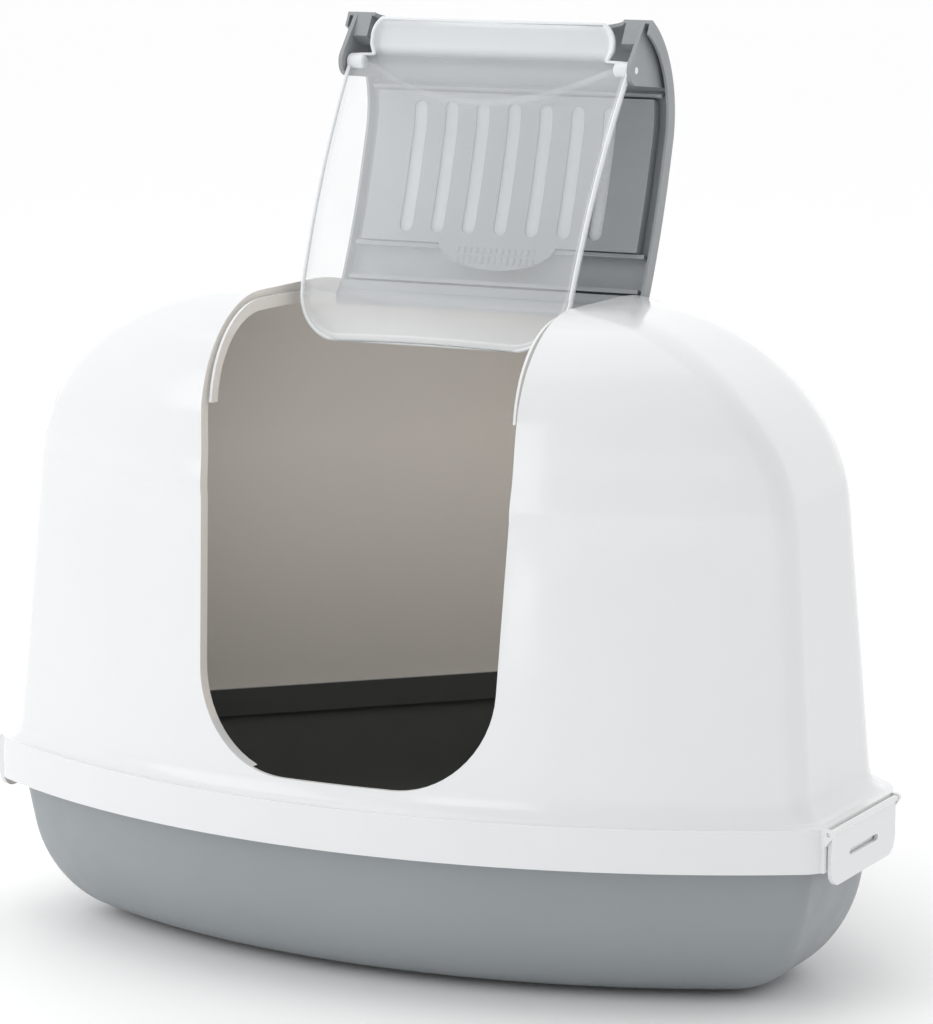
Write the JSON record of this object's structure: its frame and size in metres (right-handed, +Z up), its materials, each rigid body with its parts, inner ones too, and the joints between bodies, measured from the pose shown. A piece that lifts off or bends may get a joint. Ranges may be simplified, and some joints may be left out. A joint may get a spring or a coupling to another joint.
{
  "type": "hooded cat litter box",
  "caption": "Corner-shaped cat litter box: deep tray, clipped-on hood with front opening, lid that tips back with a filter cassette, and a see-through swing flap.",
  "frame": {"origin": "on the floor, under the middle of the rim band", "axes": "+Z up, -Y is the front with the opening, +X is to the right seen from the front"},
  "size_m": [0.5658, 0.4549, 0.5606],
  "materials": {
    "base_tray": "moulded, satin",
    "hood": "polished",
    "lid": "moulded, satin",
    "flap": "clear, slightly frosted",
    "filter_cover": "moulded, satin",
    "carbon_filter": "non-woven pad",
    "clip_left": "polished",
    "clip_right": "polished",
    "foot_front_left": "plain",
    "foot_front_right": "plain",
    "foot_rear_left": "plain",
    "foot_rear_right": "plain"
  },
  "bodies": {
    "shell": {"base_tray": "base_tray", "hood": "hood", "foot_front_left": "foot_front_left", "foot_front_right": "foot_front_right", "foot_rear_left": "foot_rear_left", "foot_rear_right": "foot_rear_right"},
    "lid": {"lid": "lid", "filter_cover": "filter_cover", "carbon_filter": "carbon_filter"},
    "flap": {"flap": "flap"},
    "clip_left": {"clip_left": "clip_left"},
    "clip_right": {"clip_right": "clip_right"}
  },
  "joints": [
    {"name": "lid_hinge", "type": "hinge", "parent": "shell", "child": "lid", "pos_m": [0, -0.0185, 0.386], "axis": [1, 0, 0], "range_deg": [0, 106]},
    {"name": "flap_swing", "type": "hinge", "parent": "lid", "child": "flap", "pos_m": [0, -0.0187, 0.53136], "axis": [-1, 0, 0], "range_deg": [0, 125]},
    {"name": "clip_left_hinge", "type": "hinge", "parent": "shell", "child": "clip_left", "pos_m": [-0.2805, -0.0915, 0.111], "axis": [0, 1, 0], "range_deg": [0, 90]},
    {"name": "clip_right_hinge", "type": "hinge", "parent": "shell", "child": "clip_right", "pos_m": [0.2805, -0.0915, 0.111], "axis": [0, -1, 0], "range_deg": [0, 90]}
  ]
}
